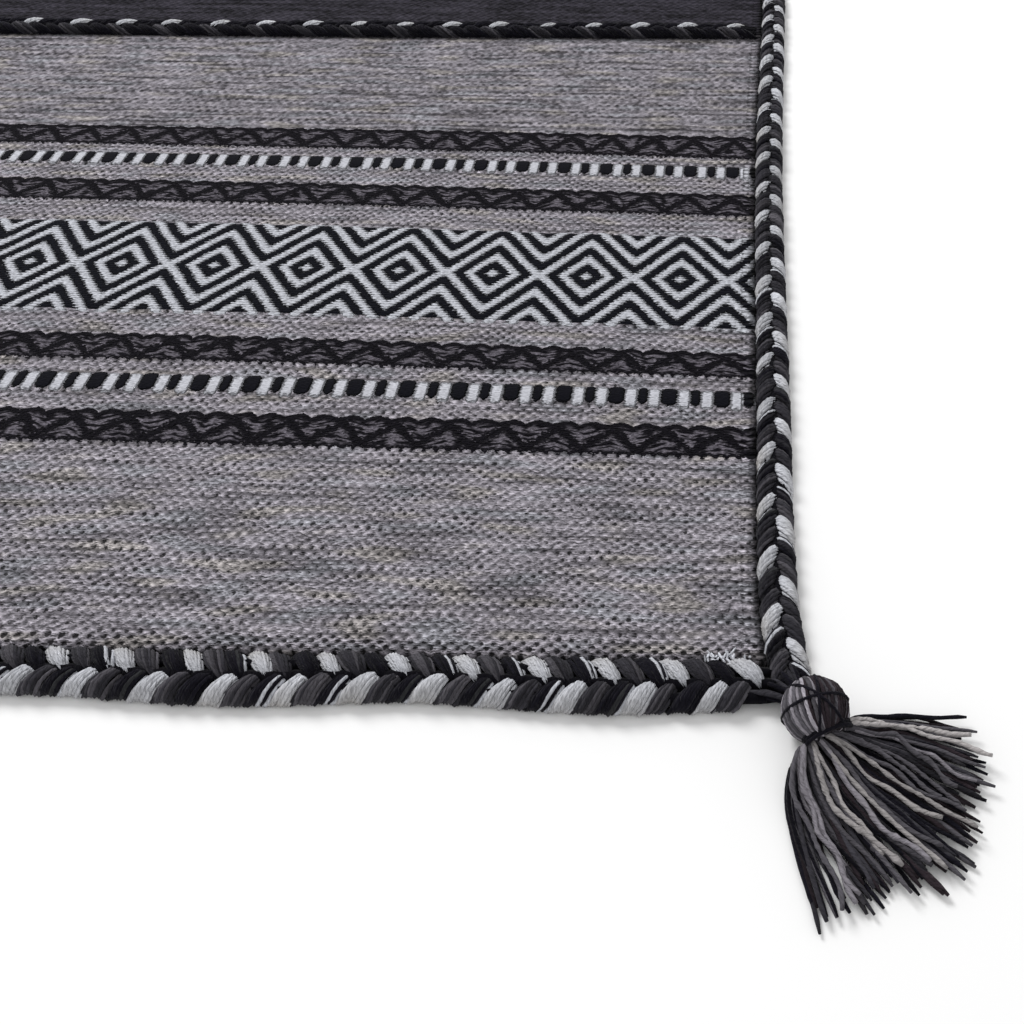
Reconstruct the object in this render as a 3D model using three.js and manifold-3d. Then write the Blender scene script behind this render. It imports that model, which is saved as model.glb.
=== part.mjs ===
// Flat-woven kilim rug with braided edges, two raised plaits across it and a tassel at each corner.
// Millimetres, +Z up. The rug lies on z = 0, its middle is the origin and its length runs along Y.
import * as THREE from "three";
import { mergeVertices } from "three/addons/utils/BufferGeometryUtils.js";
import Module from "manifold-3d";

const wasm = await Module();
wasm.setup();
const { Manifold, Mesh: SolidMesh } = wasm;

// The rug over its braids
const RUG_WIDTH = 1200;
const RUG_LENGTH = 1800;
const CLOTH_THICK = 4.5;
const CLOTH_COLUMNS = 10;
const GAP = 0.3;

// Braids along the edges and plaits across the cloth: pitch is one lobe of the braid
const SIDE_BRAID = { width: 17, height: 10, pitch: 12 };
const END_BRAID = { width: 24, height: 10, pitch: 9.7 };
const PLAIT = { width: 15, height: 7.5, pitch: 12, fromEnd: 598, bow: 0.014 };

// Wander of the sides: a slow wave, and a flare where the tassel draws each corner out
const SIDE_WAVE = { size: 1.6, length: 560, lowAt: 400 };
const CORNER_FLARE = { size: 13.5, fade: 34 };

// Ripple of the two ends' outer edge
const END_RIPPLE = { size: 1.8, length: 157, highAt: 522 };

// Bands woven a little thicker than the plain cloth, as distances from the rug's end
const BANDS = [
  { from: 145, to: 167, rise: 0.6 },
  { from: 181.5, to: 195, rise: 0.8 },
  { from: 206, to: 226, rise: 0.6 },
  { from: 247, to: 333.5, rise: 0.8 },
  { from: 357, to: 380.5, rise: 0.6 },
  { from: 399.5, to: 413.5, rise: 0.8 },
  { from: 424, to: 450, rise: 0.6 },
];
const BAND_BEVEL = 1.2;
const PLAIN_ROWS = [31, 38, 46, 57, 74, 100, 490, 540, 610, 680, 750, 825];

// Bow of the weft: its slope BOW_AT from the middle, at each distance from the rug's end
const BOW_AT = 450;
const BOW = [
  [24, 0],
  [145, -0.015],
  [227, -0.03],
  [423, -0.028],
  [470, -0.006],
  [598, PLAIT.bow],
  [900, 0],
];

// Corner tassel: a wound head, a flat neck and a fan of locks in three layers
const HEAD = { x: 609.4, y: -903.9, z: 12, radius: 13.5, segments: 16 };
const NECK = { along: 12, length: 8, width: 12, height: 6.2, segments: 12 };
const FAN = { x: 611, y: -915, heading: -41.5, root: 7 };
const LOCK = { width: 4.6, height: 3.6, steps: 3 };
const LAYERS = [
  { locks: 12, spread: 49, length: 71, rest: 0, rise: 3.5 },
  { locks: 8, spread: 40, length: 65, rest: 4, rise: 6 },
  { locks: 5, spread: 28, length: 56, rest: 8, rise: 8.5 },
];

const HALF_WIDTH = RUG_WIDTH / 2;
const HALF_LENGTH = RUG_LENGTH / 2;
const CLOTH_END = HALF_LENGTH - END_BRAID.width;

const YARN = {
  grey: 0x7b787f,
  charcoal: 0x3a3a42,
  black: 0x14161b,
  pale: 0xb9c1c4,
};

function fabric(color) {
  return new THREE.MeshStandardMaterial({ color, roughness: 0.95, metalness: 0 });
}

// Outline

function sideOuter(y) {
  const fromEnd = y + HALF_LENGTH;
  const phase = (2 * Math.PI * (fromEnd - SIDE_WAVE.lowAt)) / SIDE_WAVE.length;
  const nearFlare = Math.exp(-Math.max(fromEnd, 0) / CORNER_FLARE.fade);
  const farFlare = Math.exp(-Math.max(HALF_LENGTH - y, 0) / CORNER_FLARE.fade);
  const flare = CORNER_FLARE.size * (nearFlare + farFlare);
  return HALF_WIDTH - SIDE_WAVE.size * Math.cos(phase) + flare;
}

function sideInner(y) {
  return sideOuter(y) - SIDE_BRAID.width;
}

function endOuter(x) {
  const phase = (2 * Math.PI * (x - END_RIPPLE.highAt)) / END_RIPPLE.length;
  return HALF_LENGTH + END_RIPPLE.size * Math.cos(phase);
}

function bowSlope(fromEnd) {
  const next = Math.max(1, BOW.findIndex(([at]) => at >= fromEnd));
  const [a, slopeA] = BOW[next - 1];
  const [b, slopeB] = BOW[next];
  return slopeA + ((slopeB - slopeA) * (fromEnd - a)) / (b - a);
}

// Y of a weft line that lies fromEnd from the near end. The far half is the near half turned round.
function weftY(x, fromEnd) {
  const near = fromEnd <= HALF_LENGTH;
  const distance = near ? fromEnd : RUG_LENGTH - fromEnd;
  const bow = (bowSlope(distance) * (x * x - BOW_AT * BOW_AT)) / (2 * BOW_AT);
  const y = -HALF_LENGTH + distance + bow;
  return near ? y : -y;
}

// Geometry and solids

function geometryOf(vertices, triangles) {
  const geometry = new THREE.BufferGeometry();
  geometry.setAttribute("position", new THREE.Float32BufferAttribute(vertices.flat(), 3));
  geometry.setIndex(triangles.flat());
  return geometry;
}

function toSolid(geometry) {
  const bare = geometry.clone();
  bare.deleteAttribute("normal");
  bare.deleteAttribute("uv");
  const merged = mergeVertices(bare, 1e-4);
  return new Manifold(
    new SolidMesh({
      numProp: 3,
      vertProperties: merged.attributes.position.array,
      triVerts: new Uint32Array(merged.index.array),
    }),
  );
}

function toGeometry(solid) {
  const mesh = solid.getMesh();
  const geometry = new THREE.BufferGeometry();
  geometry.setAttribute("position", new THREE.Float32BufferAttribute(mesh.vertProperties, 3));
  geometry.setIndex(Array.from(mesh.triVerts));
  geometry.computeVertexNormals();
  return geometry;
}

// Cloth: a closed sheet with a flat underside and a top that steps up at each band

function clothRows() {
  const half = [{ at: END_BRAID.width + GAP / 2, rise: 0 }];
  PLAIN_ROWS.forEach((at) => half.push({ at, rise: 0 }));
  BANDS.forEach(({ from, to, rise }) => {
    half.push({ at: from - BAND_BEVEL / 2, rise: 0 }, { at: from + BAND_BEVEL / 2, rise });
    half.push({ at: to - BAND_BEVEL / 2, rise }, { at: to + BAND_BEVEL / 2, rise: 0 });
  });
  half.sort((a, b) => a.at - b.at);
  const turned = half.map(({ at, rise }) => ({ at: RUG_LENGTH - at, rise })).reverse();
  return [...half, { at: HALF_LENGTH, rise: 0 }, ...turned];
}

function clothGeometry() {
  const rows = clothRows();
  const perRow = CLOTH_COLUMNS + 1;
  const top = [];
  rows.forEach(({ at, rise }) => {
    const y = at - HALF_LENGTH;
    const right = sideInner(y) - GAP / 2;
    const left = GAP / 2 - sideInner(-y);
    for (let i = 0; i < perRow; i++) {
      const x = left + ((right - left) * i) / CLOTH_COLUMNS;
      top.push([x, weftY(x, at), CLOTH_THICK + rise]);
    }
  });
  const triangles = [];
  for (let j = 0; j + 1 < rows.length; j++) {
    for (let i = 0; i < CLOTH_COLUMNS; i++) {
      const a = j * perRow + i;
      triangles.push([a, a + 1, a + perRow + 1], [a, a + perRow + 1, a + perRow]);
    }
  }
  // The rim, counter-clockwise from above, carries the walls and the underside
  const last = rows.length - 1;
  const rim = [];
  for (let i = 0; i < CLOTH_COLUMNS; i++) rim.push(i);
  for (let j = 0; j < last; j++) rim.push(j * perRow + CLOTH_COLUMNS);
  for (let i = CLOTH_COLUMNS; i > 0; i--) rim.push(last * perRow + i);
  for (let j = last; j > 0; j--) rim.push(j * perRow);
  const base = top.length;
  const floor = rim.map((index) => [top[index][0], top[index][1], 0]);
  rim.forEach((upper, k) => {
    const next = (k + 1) % rim.length;
    triangles.push([upper, base + k, base + next], [upper, base + next, rim[next]]);
  });
  const outline = floor.map(([x, y]) => new THREE.Vector2(x, y));
  THREE.ShapeUtils.triangulateShape(outline, []).forEach(([a, b, c]) => {
    triangles.push([base + a, base + c, base + b]);
  });
  return geometryOf([...top, ...floor], triangles);
}

// Braids and plaits: one section is set across the line at every lobe, and each second one leans
// the other way, so that the crest runs in a zigzag as plaited strands do

function braidSection({ height }, width, step) {
  const lean = step % 2 ? 0.1 : -0.1;
  return [
    [0, 0],
    [0.05 * width, (0.74 - 0.6 * lean) * height],
    [(0.5 + lean) * width, height],
    [0.94 * width, (0.62 + 0.6 * lean) * height],
    [width, 0],
  ];
}

// stations: each has its origin, the unit vector across to the outside, and the width there
function braidSolid(spec, stations, floor = 0) {
  const vertices = [];
  const triangles = [];
  stations.forEach(({ origin, across, width }, step) => {
    braidSection(spec, width, step).forEach(([u, z]) => {
      vertices.push([origin[0] + across[0] * u, origin[1] + across[1] * u, floor + z]);
    });
  });
  const sides = vertices.length / stations.length;
  for (let step = 0; step + 1 < stations.length; step++) {
    for (let k = 0; k < sides; k++) {
      const a = step * sides + k;
      const b = step * sides + ((k + 1) % sides);
      triangles.push([a, b, b + sides], [a, b + sides, a + sides]);
    }
  }
  const end = vertices.length - sides;
  for (let k = 1; k + 1 < sides; k++) {
    triangles.push([0, k + 1, k], [end, end + k, end + k + 1]);
  }
  return toSolid(geometryOf(vertices, triangles));
}

function evenStations(from, to, pitch, place) {
  const count = Math.round((to - from) / pitch);
  return Array.from({ length: count + 1 }, (_, k) => place(from + ((to - from) * k) / count));
}

// Both braids run past the corner and are cut on the mitre line that leaves the cloth's corner
function mitre(solid, corner, outward) {
  const unit = outward.map((v) => v * Math.SQRT1_2);
  const offset = unit[0] * corner[0] + unit[1] * corner[1] + GAP / 2;
  return solid.trimByPlane([unit[0], unit[1], 0], offset);
}

function headRoom(side) {
  return headBall(HEAD.radius + GAP).translate([side * HEAD.x, HEAD.y, HEAD.z]);
}

function sideBraidSolid() {
  const past = HALF_LENGTH + 10;
  const stations = evenStations(-past, past, SIDE_BRAID.pitch, (y) => ({
    origin: [sideInner(y) + GAP / 2, y],
    across: [1, 0],
    width: SIDE_BRAID.width,
  }));
  let solid = braidSolid(SIDE_BRAID, stations);
  solid = mitre(solid, [sideInner(-CLOTH_END), -CLOTH_END], [1, 1]);
  solid = mitre(solid, [sideInner(CLOTH_END), CLOTH_END], [1, -1]);
  solid = solid.subtract(headRoom(1));
  return solid.subtract(headRoom(-1).rotate([0, 0, 180]));
}

function endBraidSolid() {
  const past = HALF_WIDTH + 15;
  const inner = CLOTH_END + GAP / 2;
  const stations = evenStations(-past, past, END_BRAID.pitch, (x) => ({
    origin: [x, -inner],
    across: [0, -1],
    width: endOuter(x) - inner,
  }));
  let solid = braidSolid(END_BRAID, stations);
  solid = mitre(solid, [sideInner(-CLOTH_END), -CLOTH_END], [-1, -1]);
  solid = mitre(solid, [-sideInner(CLOTH_END), -CLOTH_END], [1, -1]);
  solid = solid.subtract(headRoom(1));
  return solid.subtract(headRoom(-1));
}

function plaitSolid() {
  const y = PLAIT.fromEnd - HALF_LENGTH;
  const left = 2 * GAP - sideInner(-y);
  const right = sideInner(y) - 2 * GAP;
  const stations = evenStations(left, right, PLAIT.pitch, (x) => ({
    origin: [x, weftY(x, PLAIT.fromEnd) + PLAIT.width / 2],
    across: [0, -1],
    width: PLAIT.width,
  }));
  return braidSolid(PLAIT, stations, CLOTH_THICK + GAP);
}

// Tassels

function headBall(radius) {
  return Manifold.sphere(radius, HEAD.segments);
}

function neckSolid() {
  const turn = (FAN.heading * Math.PI) / 180;
  return Manifold.sphere(1, NECK.segments)
    .scale([NECK.length, NECK.width, NECK.height])
    .rotate([0, 0, FAN.heading])
    .translate([
      HEAD.x + NECK.along * Math.cos(turn),
      HEAD.y + NECK.along * Math.sin(turn),
      NECK.height,
    ]);
}

// One lock of yarn: a three-sided rod that leaves the neck, comes down and lies level to its tip
function lockSolid(layer, place, reach) {
  const centre = (FAN.heading * Math.PI) / 180;
  const angle = centre + (place * layer.spread * Math.PI) / 180;
  const root = [
    FAN.x - Math.sin(centre) * place * FAN.root,
    FAN.y + Math.cos(centre) * place * FAN.root,
  ];
  const tip = [
    FAN.x + Math.cos(angle) * layer.length * reach,
    FAN.y + Math.sin(angle) * layer.length * reach,
  ];
  const across = new THREE.Vector2(tip[1] - root[1], root[0] - tip[0]).normalize();
  const vertices = [];
  for (let step = 0; step <= LOCK.steps; step++) {
    const t = step / LOCK.steps;
    const x = root[0] + (tip[0] - root[0]) * t;
    const y = root[1] + (tip[1] - root[1]) * t;
    const z = layer.rest + layer.rise * Math.max(0, 1 - 2.5 * t) ** 2;
    const half = (LOCK.width / 2) * (t < 1 ? 1 : 0.7);
    vertices.push([x - across.x * half, y - across.y * half, z]);
    vertices.push([x + across.x * half, y + across.y * half, z]);
    vertices.push([x, y, z + LOCK.height]);
  }
  const triangles = [];
  for (let step = 0; step < LOCK.steps; step++) {
    for (let k = 0; k < 3; k++) {
      const a = step * 3 + k;
      const b = step * 3 + ((k + 1) % 3);
      triangles.push([a, b + 3, b], [a, a + 3, b + 3]);
    }
  }
  const end = LOCK.steps * 3;
  triangles.push([0, 1, 2], [end, end + 2, end + 1]);
  return toSolid(geometryOf(vertices, triangles));
}

function tasselSolid(side) {
  const head = headBall(HEAD.radius).translate([HEAD.x, HEAD.y, HEAD.z]);
  const pieces = [head.trimByPlane([0, 0, 1], 0), neckSolid()];
  LAYERS.forEach((layer, n) => {
    for (let k = 0; k < layer.locks; k++) {
      const place = (2 * k) / (layer.locks - 1) - 1;
      const reach = 1 - 0.05 * Math.sin(2.3 * k + 1.7 * n + side) ** 2;
      pieces.push(lockSolid(layer, place, reach));
    }
  });
  const tassel = Manifold.union(pieces);
  return side > 0 ? tassel : tassel.mirror([1, 0, 0]);
}

// Assembly

function piece(name, geometry, color, turned = false) {
  const mesh = new THREE.Mesh(geometry, fabric(color));
  mesh.name = name;
  if (turned) mesh.rotation.z = Math.PI;
  return mesh;
}

const group = new THREE.Group();

const sideBraid = toGeometry(sideBraidSolid());
const endBraid = toGeometry(endBraidSolid());
const plait = toGeometry(plaitSolid());
const rightTassel = toGeometry(tasselSolid(1));
const leftTassel = toGeometry(tasselSolid(-1));

group.add(piece("rug_cloth", clothGeometry(), YARN.grey));
group.add(piece("braid_right", sideBraid, YARN.charcoal));
group.add(piece("braid_left", sideBraid, YARN.charcoal, true));
group.add(piece("braid_near", endBraid, YARN.charcoal));
group.add(piece("braid_far", endBraid, YARN.charcoal, true));
group.add(piece("plait_near", plait, YARN.pale));
group.add(piece("plait_far", plait, YARN.pale, true));
group.add(piece("tassel_near_right", rightTassel, YARN.black));
group.add(piece("tassel_far_left", rightTassel, YARN.black, true));
group.add(piece("tassel_near_left", leftTassel, YARN.black));
group.add(piece("tassel_far_right", leftTassel, YARN.black, true));

export default group;
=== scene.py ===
"""Looks of the flat-woven kilim rug: woven bands, plaited edges, cross plaits and corner tassels."""
import math

import bpy
import numpy as np
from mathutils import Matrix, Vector


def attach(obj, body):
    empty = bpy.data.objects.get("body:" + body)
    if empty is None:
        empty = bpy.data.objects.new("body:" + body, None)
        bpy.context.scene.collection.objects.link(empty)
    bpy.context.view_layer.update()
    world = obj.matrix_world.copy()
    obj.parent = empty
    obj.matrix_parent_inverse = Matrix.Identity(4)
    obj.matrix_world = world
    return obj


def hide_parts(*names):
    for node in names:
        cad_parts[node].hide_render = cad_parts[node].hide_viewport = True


MM = 0.001

# The rug over its braids, in millimetres as in the solids; every piece is scaled by MM when it is made
RUG_WIDTH = 1200.0
RUG_LENGTH = 1800.0
HALF_WIDTH = RUG_WIDTH / 2
HALF_LENGTH = RUG_LENGTH / 2
CLOTH_THICK = 4.5
GAP = 0.3

# Each lobe of a braid is a bundle of yarns that leans by slant. white_at is the middle of a white outer lobe.
# The lobes and the core under them run from the middle of the rug to lobes_to and core_to, both ways.
SIDE_BRAID = {
    "width": 17.0, "height": 10.0, "pitch": 11.3, "slant": 15.0, "yarns": 7, "radius": 1.1,
    "white_at": -568.5, "lobes_to": 893.0, "core_to": 889.0,
}
END_BRAID = {
    "width": 24.0, "height": 10.0, "pitch": 9.633, "slant": 12.5, "yarns": 8, "radius": 1.0,
    "white_at": 508.7, "lobes_to": 592.0, "core_to": 598.0,
}
# A cross plait stops short of the side braids, and its core inside its lobes
PLAIT = {
    "width": 15.0, "height": 7.5, "pitch": 12.02, "slant": -17.5, "yarns": 6, "radius": 1.1,
    "white_at": 5.0, "short_of_braid": 1.0, "core_inside": 3.0,
}
PLAIT_FROM_END = 598.0
CLOTH_END = HALF_LENGTH - END_BRAID["width"]

# Along a lobe from the edge to its tip: share of the width from the inner edge, of the height, of the spread.
# The side braids have a spread of their own.
OUTER_LOBE = {
    "across": (0.84, 0.95, 0.96, 0.87, 0.73, 0.58, 0.43),
    "up": (0.1, 0.26, 0.62, 0.93, 1.02, 0.9, 0.5),
    "wide": (0.85, 0.98, 1.0, 1.0, 0.95, 0.78, 0.45),
}
INNER_LOBE = {
    "across": (0.07, 0.03, 0.09, 0.21, 0.36, 0.49, 0.6),
    "up": (0.2, 0.52, 0.82, 0.98, 1.02, 0.88, 0.5),
    "wide": (0.7, 0.92, 1.0, 0.96, 0.8, 0.55, 0.25),
}
SIDE_WIDE = (0.4, 0.7, 0.92, 1.0, 1.0, 0.85, 0.55)

# Yarns of a lobe: how far they fan out, how much shorter and lower the outer ones are, and how uneven
LOBE = {
    "fan": 0.45, "shorter": 0.16, "lower": 0.28, "uneven_place": 0.06, "uneven_bulk": 0.05,
    "uneven_up": 0.012, "uneven_across": 0.01,
}

# Core of a braid: each yarn's place across, its height, and its radius as a share of the braid's height
BRAID_CORE = [
    (0.24, 0.4, 0.33),
    (0.5, 0.45, 0.38),
    (0.76, 0.4, 0.33),
]
CORE_STEPS = 120

# Lobes in turn, in the outer and the inner row
END_KINDS = (("white", "dark", "black"), ("white", "dark", "black"))
SIDE_KINDS = (("white", "dark", "soft"), ("white", "dark", "soft"))
PLAIT_KINDS = (("plain", "dark", "plain"), ("white", "plain", "plain"))

# Wander of the sides, ripple of the ends and bow of the weft, as in the solids
SIDE_WAVE = {"size": 1.6, "length": 560.0, "low_at": 400.0}
CORNER_FLARE = {"size": 13.5, "fade": 34.0}
END_RIPPLE = {"size": 1.8, "length": 157.0, "high_at": 522.0}
BOW_AT = 450.0
BOW = [(24, 0), (145, -0.015), (227, -0.03), (423, -0.028), (470, -0.006), (598, 0.014), (900, 0)]

# Bands, as distances from the rug's end
BANDS = [
    ("zigzag", 145.0, 167.0),
    ("keys", 181.5, 195.0),
    ("zigzag", 206.0, 226.0),
    ("diamonds", 247.0, 333.5),
    ("zigzag", 357.0, 380.5),
    ("keys", 399.5, 413.5),
    ("zigzag", 424.0, 450.0),
]
BAND_RISE = {"zigzag": 0.6, "keys": 0.8, "diamonds": 0.8}

# Mesh of the cloth: columns across, longest step along, half the run up to a band, and a slight swell
CLOTH_COLUMNS = 150
CLOTH_STEP = 7.0
BAND_EDGE = 0.8
SWELL = 0.25

# Weave: a bead is one weft float, a pick is one row of them, and a pit lies between the ends of two floats.
# Beads and pits have half sizes across and along, the diamonds have finer picks, and the last picks lie open.
BEAD_PITCH = 6.0
PICK = 3.0
BEAD_HALF = (3.3, 2.35)
PIT_HALF = (1.3, 1.15)
FINE_PICK = 2.05
LAST_PICKS = (30.0, 36.0)

# Beyond the bands the weave is closer, with sparse rows of pits in painted shade that get fewer over a
# stretch
CLOSE_FROM = 451.5
SPARSE_ROW = 5.3
SPARSE_FADE = (480.0, 560.0)

# Selvage: its width, the middle of its cord, and the pitch of the weft's turns round it
SELVAGE = 7.5
CORD_MIDDLE = 4.2
CORD_PITCH = 4.6

# Pattern repeats. A wide black key is twice KEY_BLACK, and a white one runs from there to KEY_WHITE.
DIAMOND_REPEAT = 55.0
DIAMOND_AT = 539.0
DIAMOND_STEP = 8.3
TIP_ROUND = 0.0036
KEY_BLACK = 4.3
KEY_WHITE = 11.1

# Noise in the cloth: lumps to each millimetre or row across and along, a depth of its own, and detail
CLOTH_NOISE = {
    "fibre": (0.45, 1.0, 3.0, 1.0),
    "sway": (0.02, 0.02, 0.0, 0.0),
    "drift": (0.03, 0.1, 7.0, 0.0),
    "streak": (0.022, 1.0, 11.0, 1.0),
    "grain": (0.22, 0.24, 17.0, 0.0),
    "tint": (0.03, 0.12, 23.0, 0.0),
    "opening": (0.035, 0.43, 29.0, 0.0),
    "parting": (0.02, 0.61, 37.0, 0.0),
    "showing": (0.014, 0.77, 41.0, 0.0),
    "wisp": (0.15, 0.5, 61.0, 0.0),
}

# Surface: roughness, the sheen of cloth and yarn, and how deep the bump is, in metres
COTTON_ROUGHNESS = 0.95
CLOTH_SHEEN = 0.015
YARN_SHEEN = 0.05
CLOTH_BUMP = 0.0014
YARN_BUMP = 0.0006

# Colours as sRGB bytes, of the cloth's weft and of the yarns
WEFT = {
    "grey": (136, 132, 139),
    "warm_grey": (144, 139, 131),
    "cool_grey": (128, 132, 138),
    "middle": (44, 42, 49),
    "zigzag": (15, 13, 19),
    "zigzag_float": (98, 94, 102),
    "key_black": (14, 14, 20),
    "key_white": (176, 177, 184),
    "diamond_black": (12, 13, 20),
    "diamond_white": (174, 176, 183),
}
YARN = {
    "white": (193, 195, 202),
    "pale": (153, 149, 149),
    "grey": (136, 132, 139),
    "dark": (74, 72, 77),
    "charcoal": (48, 47, 52),
    "black": (19, 18, 25),
    "brown": (40, 34, 38),
}

# Painted shade: loss of red, green and blue towards the low end of a white lobe, most of the blue, so it
# turns darker and warmer
LOW_END_SHADE = (0.45, 0.5, 0.58)

# Mixed yarns: each has its part of the dice, from and to, its name, the spread of its tone, and its strength
DARK_LOBE_MIX = [(0.0, 0.35, "dark", 0.2, 1.0), (0.35, 1.0, "charcoal", 0.2, 1.0)]
HEAD_MIX = [
    (0.3, 0.66, "dark", 0.3, 1.0),
    (0.66, 1.0, "brown", 0.3, 1.0),
    (0.0, 0.3, "grey", 0.3, 1.0),
]
FAN_MIX = [
    (0.5, 0.75, "brown", 0.3, 1.0),
    (0.75, 1.0, "black", 0.2, 1.0),
    (0.24, 0.5, "charcoal", 0.3, 1.0),
    (0.0, 0.24, "dark", 0.3, 1.0),
]
LOOSE_MIX = [
    (0.33, 0.65, "grey", 0.25, 0.75),
    (0.65, 1.0, "dark", 0.25, 1.2),
    (0.0, 0.33, "pale", 0.15, 0.9),
]
CORNER_MIX = [(0.0, 0.3, "charcoal", 0.2, 1.0), (0.3, 1.0, "black", 0.2, 1.0)]

# Head of the tassel at the near right corner: a ball of yarns drawn over a core from its top to its neck
HEAD = {
    "x": 609.4, "y": -903.9, "z": 12.4, "radius": 12.8, "heading": -64.0, "dip": 0.1, "yarns": 50,
    "yarn_radius": 1.0, "from_top": 8.0, "to_neck": 160.0, "twist": 0.25, "steps": 13,
}
HEAD_CORE = {"from": -0.98, "to": 1.0, "steps": 9, "shorter": 1.2, "thinner": 1.4}

# Threads round its neck, ahead of its centre, and over the ball, at angles from its heading
NECK_TIES = {"ahead": (9.6, 10.8, 12.0), "across": 10.0, "up": 6.6, "radius": 0.9}
BALL_TIES = {"leans": (28, -22, 80), "proud": 0.9, "radius": 0.7}
TIE_STEPS = 25

# Fan of the same tassel: strands leave a short root line, bulge sideways and reach the floor
FAN = {
    "x": 611.0, "y": -915.0, "root": 10.5, "root_heading": -57.0, "heading": -40.5, "spread": 49.0,
    "reach": 66.0, "bulge": 6.0, "radius": 0.95, "on_floor_at": 0.42,
}

# Its strands lie in clumps, with loose ones over them. A pair is the least and the most of a random amount,
# and off_place, off_heading and rough are the spread of others.
CLUMPS = {
    "count": 23, "yarns": 6, "steps": 16, "wave": 1.5, "off_place": 0.07, "off_heading": 3.0,
    "rough": 0.07, "radius": (0.85, 1.2), "clump_reach": (-0.14, 0.09), "yarn_reach": (-0.1, 0.06),
}
LOOSE = {
    "yarns": 22, "steps": 34, "wave": 3.8, "off_place": 0.06, "off_heading": 4.0, "rough": 0.16,
    "radius": (0.9, 1.2), "reach": (0.72, 1.04), "low": (4.0, 7.0), "high": 11.5,
}
SWEEP = {"half_waves": (1.0, 2.2), "size": 1.2}
CRIMP = {"half_waves": (4.0, 6.5), "size": 0.3}

# Yarns that lead from the cloth's corner towards the head, and the tuft of white ends where two braids meet
CORNER = {
    "yarns": 26, "radius": 1.1, "x": (580, 606), "y": (-892, -878), "z": (2.0, 7.5), "y_less_x": -1477.5,
    "aim": (-3, 6), "run": 0.8, "arch": 1.5,
}
TUFT = {
    "yarns": 26, "radius": 0.5, "x": (564, 583), "y": (-879, -874), "z": (5.6, 6.6), "x_run": (-3, 3),
    "y_run": (1, 5), "drop": 0.8,
}
CORNER_STEPS = 6

BRAID_SIDES = 4
TASSEL_SIDES = 6

# Camera over the near right corner: 1 mm of rug is about 2.4 pixels at the near edge
CAMERA = {"at": (0.5825, -1.1374, 0.391), "down": 48.2, "turn": 1.4, "lens": 38.67, "shift": -0.216}

# Light from the far left, an even white surround, and a pale floor just under the rug, in metres
KEY_LIGHT = {"at": (-1.2, 1.2, 2.6), "aim": (0.3, -0.4, 0.0), "size": 1.6, "power": 95.0}
SURROUND = 0.75
FLOOR = {"half": 6.0, "z": -0.0005, "tone": 0.86}

X_AXIS = np.array([1.0, 0.0, 0.0])
Y_AXIS = np.array([0.0, 1.0, 0.0])
UPRIGHT = np.array([0.0, 0.0, 1.0])

rng = np.random.default_rng(7)


def linear(rgb):
    """sRGB bytes to linear light."""
    c = np.asarray(rgb, float) / 255
    return np.where(c <= 0.04045, c / 12.92, ((c + 0.055) / 1.055) ** 2.4)


# Shader formulas


def feed(tree, value, slot):
    """Links a term to an input of a node, or sets the input to a plain number."""
    if isinstance(value, Term):
        tree.links.new(value.socket, slot)
    else:
        slot.default_value = value


def operation(kind):
    """A method for Term that adds one math node of that kind."""

    def method(term, *others):
        node = term.tree.nodes.new("ShaderNodeMath")
        node.operation = kind
        for slot, value in zip(node.inputs, (term, *others)):
            feed(term.tree, value, slot)
        return Term(term.tree, node.outputs[0])

    return method


class Term:
    """A number in a material, so that a formula in Python builds the nodes that work it out."""

    def __init__(self, tree, socket):
        self.tree = tree
        self.socket = socket

    __add__ = operation("ADD")
    __radd__ = operation("ADD")
    __sub__ = operation("SUBTRACT")
    __mul__ = operation("MULTIPLY")
    __truediv__ = operation("DIVIDE")
    floor = operation("FLOOR")
    fract = operation("FRACT")
    abs = operation("ABSOLUTE")
    cos = operation("COSINE")
    sin = operation("SINE")
    root = operation("SQRT")
    least = operation("MINIMUM")
    most = operation("MAXIMUM")
    above = operation("GREATER_THAN")

    def __rsub__(self, other):
        return self * -1.0 + other

    def squared(self):
        return self * self

    def mix(self, other, share):
        """self where share is 0, other where it is 1."""
        return self + (other - self) * share

    def ramp(self, low, high, out_low=0.0, out_high=1.0):
        """Smooth step from out_low at low to out_high at high."""
        node = self.tree.nodes.new("ShaderNodeMapRange")
        node.interpolation_type = "SMOOTHSTEP"
        self.tree.links.new(self.socket, node.inputs["Value"])
        node.inputs["From Min"].default_value = low
        node.inputs["From Max"].default_value = high
        node.inputs["To Min"].default_value = out_low
        node.inputs["To Max"].default_value = out_high
        return Term(self.tree, node.outputs["Result"])


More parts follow.
